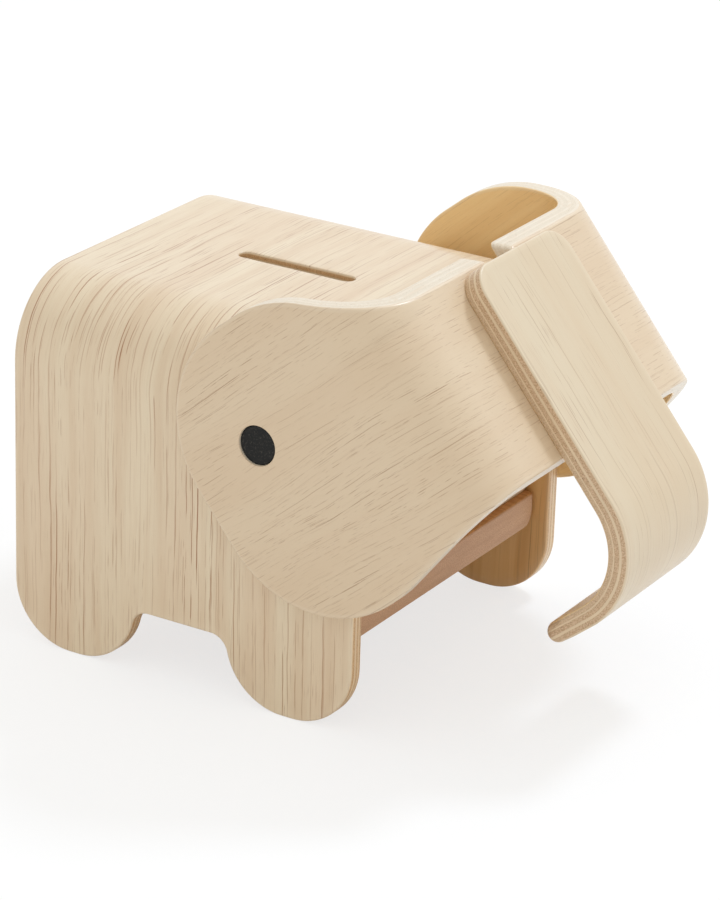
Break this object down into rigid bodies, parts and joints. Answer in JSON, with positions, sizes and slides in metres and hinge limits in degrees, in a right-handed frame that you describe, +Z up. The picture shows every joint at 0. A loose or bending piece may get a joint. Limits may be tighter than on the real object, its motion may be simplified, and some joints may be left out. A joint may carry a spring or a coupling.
{
  "type": "money box",
  "caption": "Elephant-shaped money box of bent plywood: U-bent body on rounded legs with a coin slot, wrap-round ears, curled trunk, and a pull-out stopper underneath",
  "frame": {"origin": "on the ground, under the middle of the overall box", "axes": "+X towards the trunk, along the coin slot; +Y towards the elephant's left side; +Z up"},
  "size_m": [0.1704, 0.1204, 0.123],
  "materials": {
    "body_ply": "matt clear lacquer on pale plywood, grain runs round the bends",
    "ear_ply": "matt clear lacquer on pale plywood, grain runs from ear to face",
    "trunk_ply": "matt clear lacquer on pale plywood, grain runs down the trunk",
    "panel_ply": "matt plywood",
    "board_wood": "sanded pinkish-brown pressed wood, fine dark specks",
    "dowel_wood": "plain turned hardwood",
    "eye_black": "matt black paint on the end of a dowel",
    "stopper_rubber": "dark matt rubber"
  },
  "bodies": {
    "box": {"body_shell": "body_ply", "floor_board": "board_wood", "front_panel": "panel_ply", "rear_panel": "panel_ply", "ear_left": "ear_ply", "ear_right": "ear_ply", "trunk": "trunk_ply", "eye_left": "eye_black", "eye_right": "eye_black", "trunk_dowels": "dowel_wood", "floor_dowels": "dowel_wood"},
    "stopper": {"coin_stopper": "stopper_rubber"}
  },
  "joints": [
    {"name": "stopper_pull", "type": "slide", "parent": "box", "child": "stopper", "axis": [0, 0, -1], "range_m": [0, 0.016]}
  ]
}
